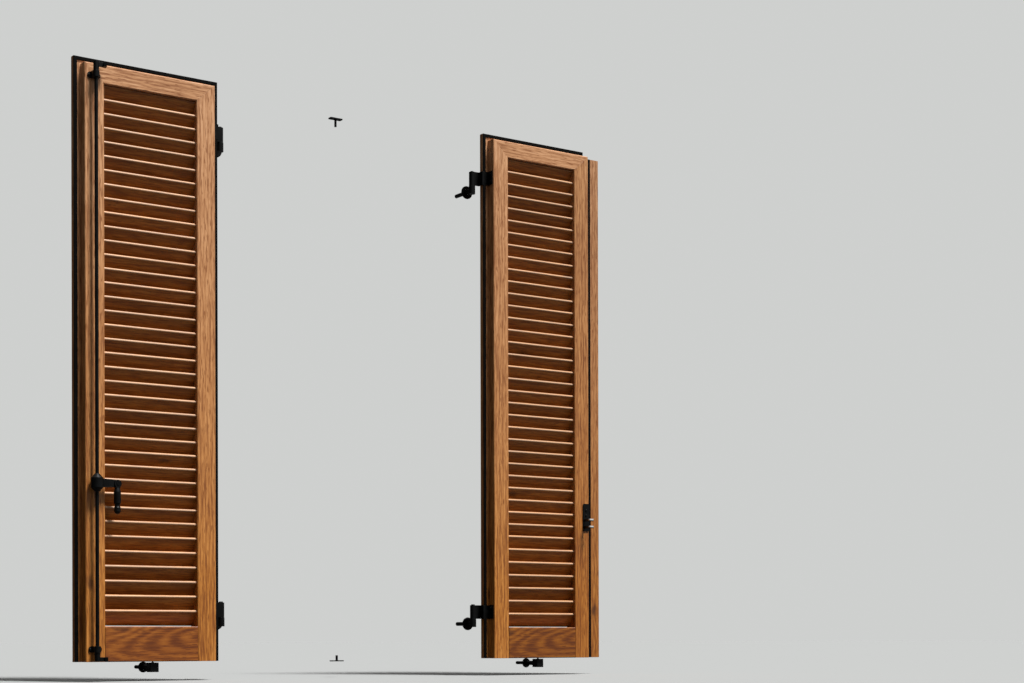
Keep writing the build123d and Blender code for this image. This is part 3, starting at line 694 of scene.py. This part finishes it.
# lowest and highest corner of each loose solid of a node, from the foot up
def solidsOf(node):
    copy = bpy.data.objects.new(node + "Copy", nodes[node].data.copy())
    bpy.context.scene.collection.objects.link(copy)
    editMesh(copy)
    bpy.ops.mesh.select_all(action="SELECT")
    bpy.ops.mesh.remove_doubles(threshold=0.000001)
    bpy.ops.mesh.separate(type="LOOSE")
    bpy.ops.object.mode_set(mode="OBJECT")
    places = []
    for solid in list(bpy.context.selected_objects):
        points = [vertex.co for vertex in solid.data.vertices]
        low = Vector([min(point[axis] for point in points) for axis in range(3)])
        high = Vector([max(point[axis] for point in points) for axis in range(3)])
        places.append((low, high))
        bpy.data.objects.remove(solid, do_unlink=True)
    return sorted(places, key=lambda place: (place[0].z, place[0].x))


# the way the heads of each group look
screwGroups = {
    "left_strap_screws": (1, 0, 0),
    "right_strap_screws": (-1, 0, 0),
    "guide_screws": (0, -1, 0),
    "grip_catch_screws": (0, -1, 0),
    "astragal_screws": (0, 1, 0),
}


def placeScrews():
    models = {}
    for group, out in screwGroups.items():
        out = Vector(out)
        pieces = []
        for number, (low, high) in enumerate(solidsOf(group)):
            length = abs((high - low).dot(out)) - screwShape["headHeight"]
            key = round(length, 4)
            if key not in models:
                models[key] = modelScrew(length)
            middle = (low + high) / 2
            reach = abs((high - low).dot(out)) / 2
            seat = middle + out * (reach - screwShape["headHeight"])
            screw = bpy.data.objects.new("screw", models[key].data.copy())
            bpy.context.scene.collection.objects.link(screw)
            spin = Matrix.Rotation(math.radians(number * screwShape["turnBetween"]), 4, "Z")
            toward = out.to_track_quat("Z", "Y").to_matrix().to_4x4()
            screw.matrix_world = Matrix.Translation(seat) @ toward @ spin
            pieces.append(screw)
        screws = joined(pieces, group + "_threaded")
        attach(screws, bodyOf[group])
        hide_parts(group)
    for model in models.values():
        bpy.data.objects.remove(model, do_unlink=True)


placeScrews()
print("screws modelled")


# coil springs of the hold-back catches
springShape = {"wireRadius": 0.0006, "turns": 5, "steps": 28, "sides": 10, "smoothUnder": 50}


def placeSpring(node):
    s = springShape
    low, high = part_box(node)
    ring = (high.x - low.x) / 2 - s["wireRadius"]
    pitch = (high.z - low.z - 2 * s["wireRadius"]) / s["turns"]
    spring = coil(node + "_coil", ring, s["wireRadius"], s["sides"], pitch, s["turns"], s["steps"])
    spring.location = ((low.x + high.x) / 2, (low.y + high.y) / 2, low.z + s["wireRadius"])
    settle(spring, node + "_coil")
    bpy.ops.object.shade_smooth_by_angle(angle=math.radians(s["smoothUnder"]))
    spring.data.materials.append(springSteel)
    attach(spring, bodyOf[node])
    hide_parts(node)


for node in ("left_catch_spring", "right_catch_spring"):
    placeSpring(node)
print("springs modelled")


# floor, world and sun
studio = {
    "floorPlace": (0.45, 0, -0.16),
    "floorSize": 160.0,
    "pale": (0.62, 0.63, 0.62),
    "floorSeen": (0.297, 0.302, 0.297),
    "floorShade": (0.05, 0.05, 0.05),
    "worldBright": 0.50,
    "worldDim": 0.01,
    "worldToward": (0.55, -0.25, 0.80),
    "worldFrom": -0.1,
    "worldTo": 0.95,
    "sunElevation": 64.0,
    "sunAzimuth": 24.0,
    "sunSize": 14.0,
    "sunStrength": 6.35,
}

# a level camera, with the part brought into the frame by the lens shift
photoView = {
    "lens": 63.630,
    "sensor": 36.0,
    "shiftUp": 0.29137,
    "place": (-2.2542, -4.6852, -0.0502),
    "roll": 0.134,
    "heading": -34.972,
}


def paleFloor():
    bpy.ops.object.select_all(action="DESELECT")
    bpy.ops.mesh.primitive_plane_add(size=studio["floorSize"], location=studio["floorPlace"])
    floor = settle(bpy.context.object, "paleFloor")
    material, tree, shader = freshMaterial("floorPaint", {"Roughness": 0.9, "Specular IOR Level": 0.1})
    path = addNode(tree, "LightPath")
    tones = {6: (*studio["floorShade"], 1), 7: (*studio["floorSeen"], 1)}
    colour = addNode(tree, "Mix", tones, data_type="RGBA")
    wire(tree, path, "Is Camera Ray", colour, 0)
    wire(tree, colour, 2, shader, "Base Color")
    floor.data.materials.append(material)


def paleWorld():
    world = bpy.data.worlds.new("paleWorld")
    bpy.context.scene.world = world
    world.use_nodes = True
    tree = world.node_tree
    tree.nodes.clear()
    place = addNode(tree, "TexCoord")
    facing = addNode(tree, "VectorMath", {1: studio["worldToward"]}, operation="DOT_PRODUCT")
    wire(tree, place, "Generated", facing, 0)
    strength = fadeBetween(tree, studio["worldFrom"], studio["worldTo"], studio["worldBright"])
    strength.inputs["To Min"].default_value = studio["worldDim"]
    wire(tree, facing, "Value", strength, "Value")
    light = addNode(tree, "Background", {"Color": (1, 1, 1, 1)})
    wire(tree, strength, "Result", light, "Strength")
    shown = addNode(tree, "Background", {"Color": (*studio["pale"], 1), "Strength": 1.0})
    path = addNode(tree, "LightPath")
    mix = addNode(tree, "MixShader")
    wire(tree, path, "Is Camera Ray", mix, 0)
    wire(tree, light, 0, mix, 1)
    wire(tree, shown, 0, mix, 2)
    output = addNode(tree, "OutputWorld")
    wire(tree, mix, 0, output, "Surface")


def softSun():
    data = bpy.data.lights.new("softSun", "SUN")
    data.angle = math.radians(studio["sunSize"])
    data.energy = studio["sunStrength"]
    sun = bpy.data.objects.new("softSun", data)
    tilt, turn = 90 - studio["sunElevation"], studio["sunAzimuth"]
    sun.rotation_euler = (math.radians(tilt), 0, math.radians(turn))
    sun.location = (0.5, -2, 4)
    bpy.context.scene.collection.objects.link(sun)


def photoCamera():
    v = photoView
    data = bpy.data.cameras.new("photoCamera")
    data.sensor_width = v["sensor"]
    data.lens = v["lens"]
    data.shift_y = v["shiftUp"]
    data.clip_end = 200.0
    camera = bpy.data.objects.new("photoCamera", data)
    camera.location = v["place"]
    camera.rotation_euler = (math.radians(90), math.radians(v["roll"]), math.radians(v["heading"]))
    bpy.context.scene.collection.objects.link(camera)
    bpy.context.scene.camera = camera


paleFloor()
paleWorld()
softSun()
photoCamera()
bpy.context.scene.view_settings.view_transform = "Standard"
print("studio and camera set")
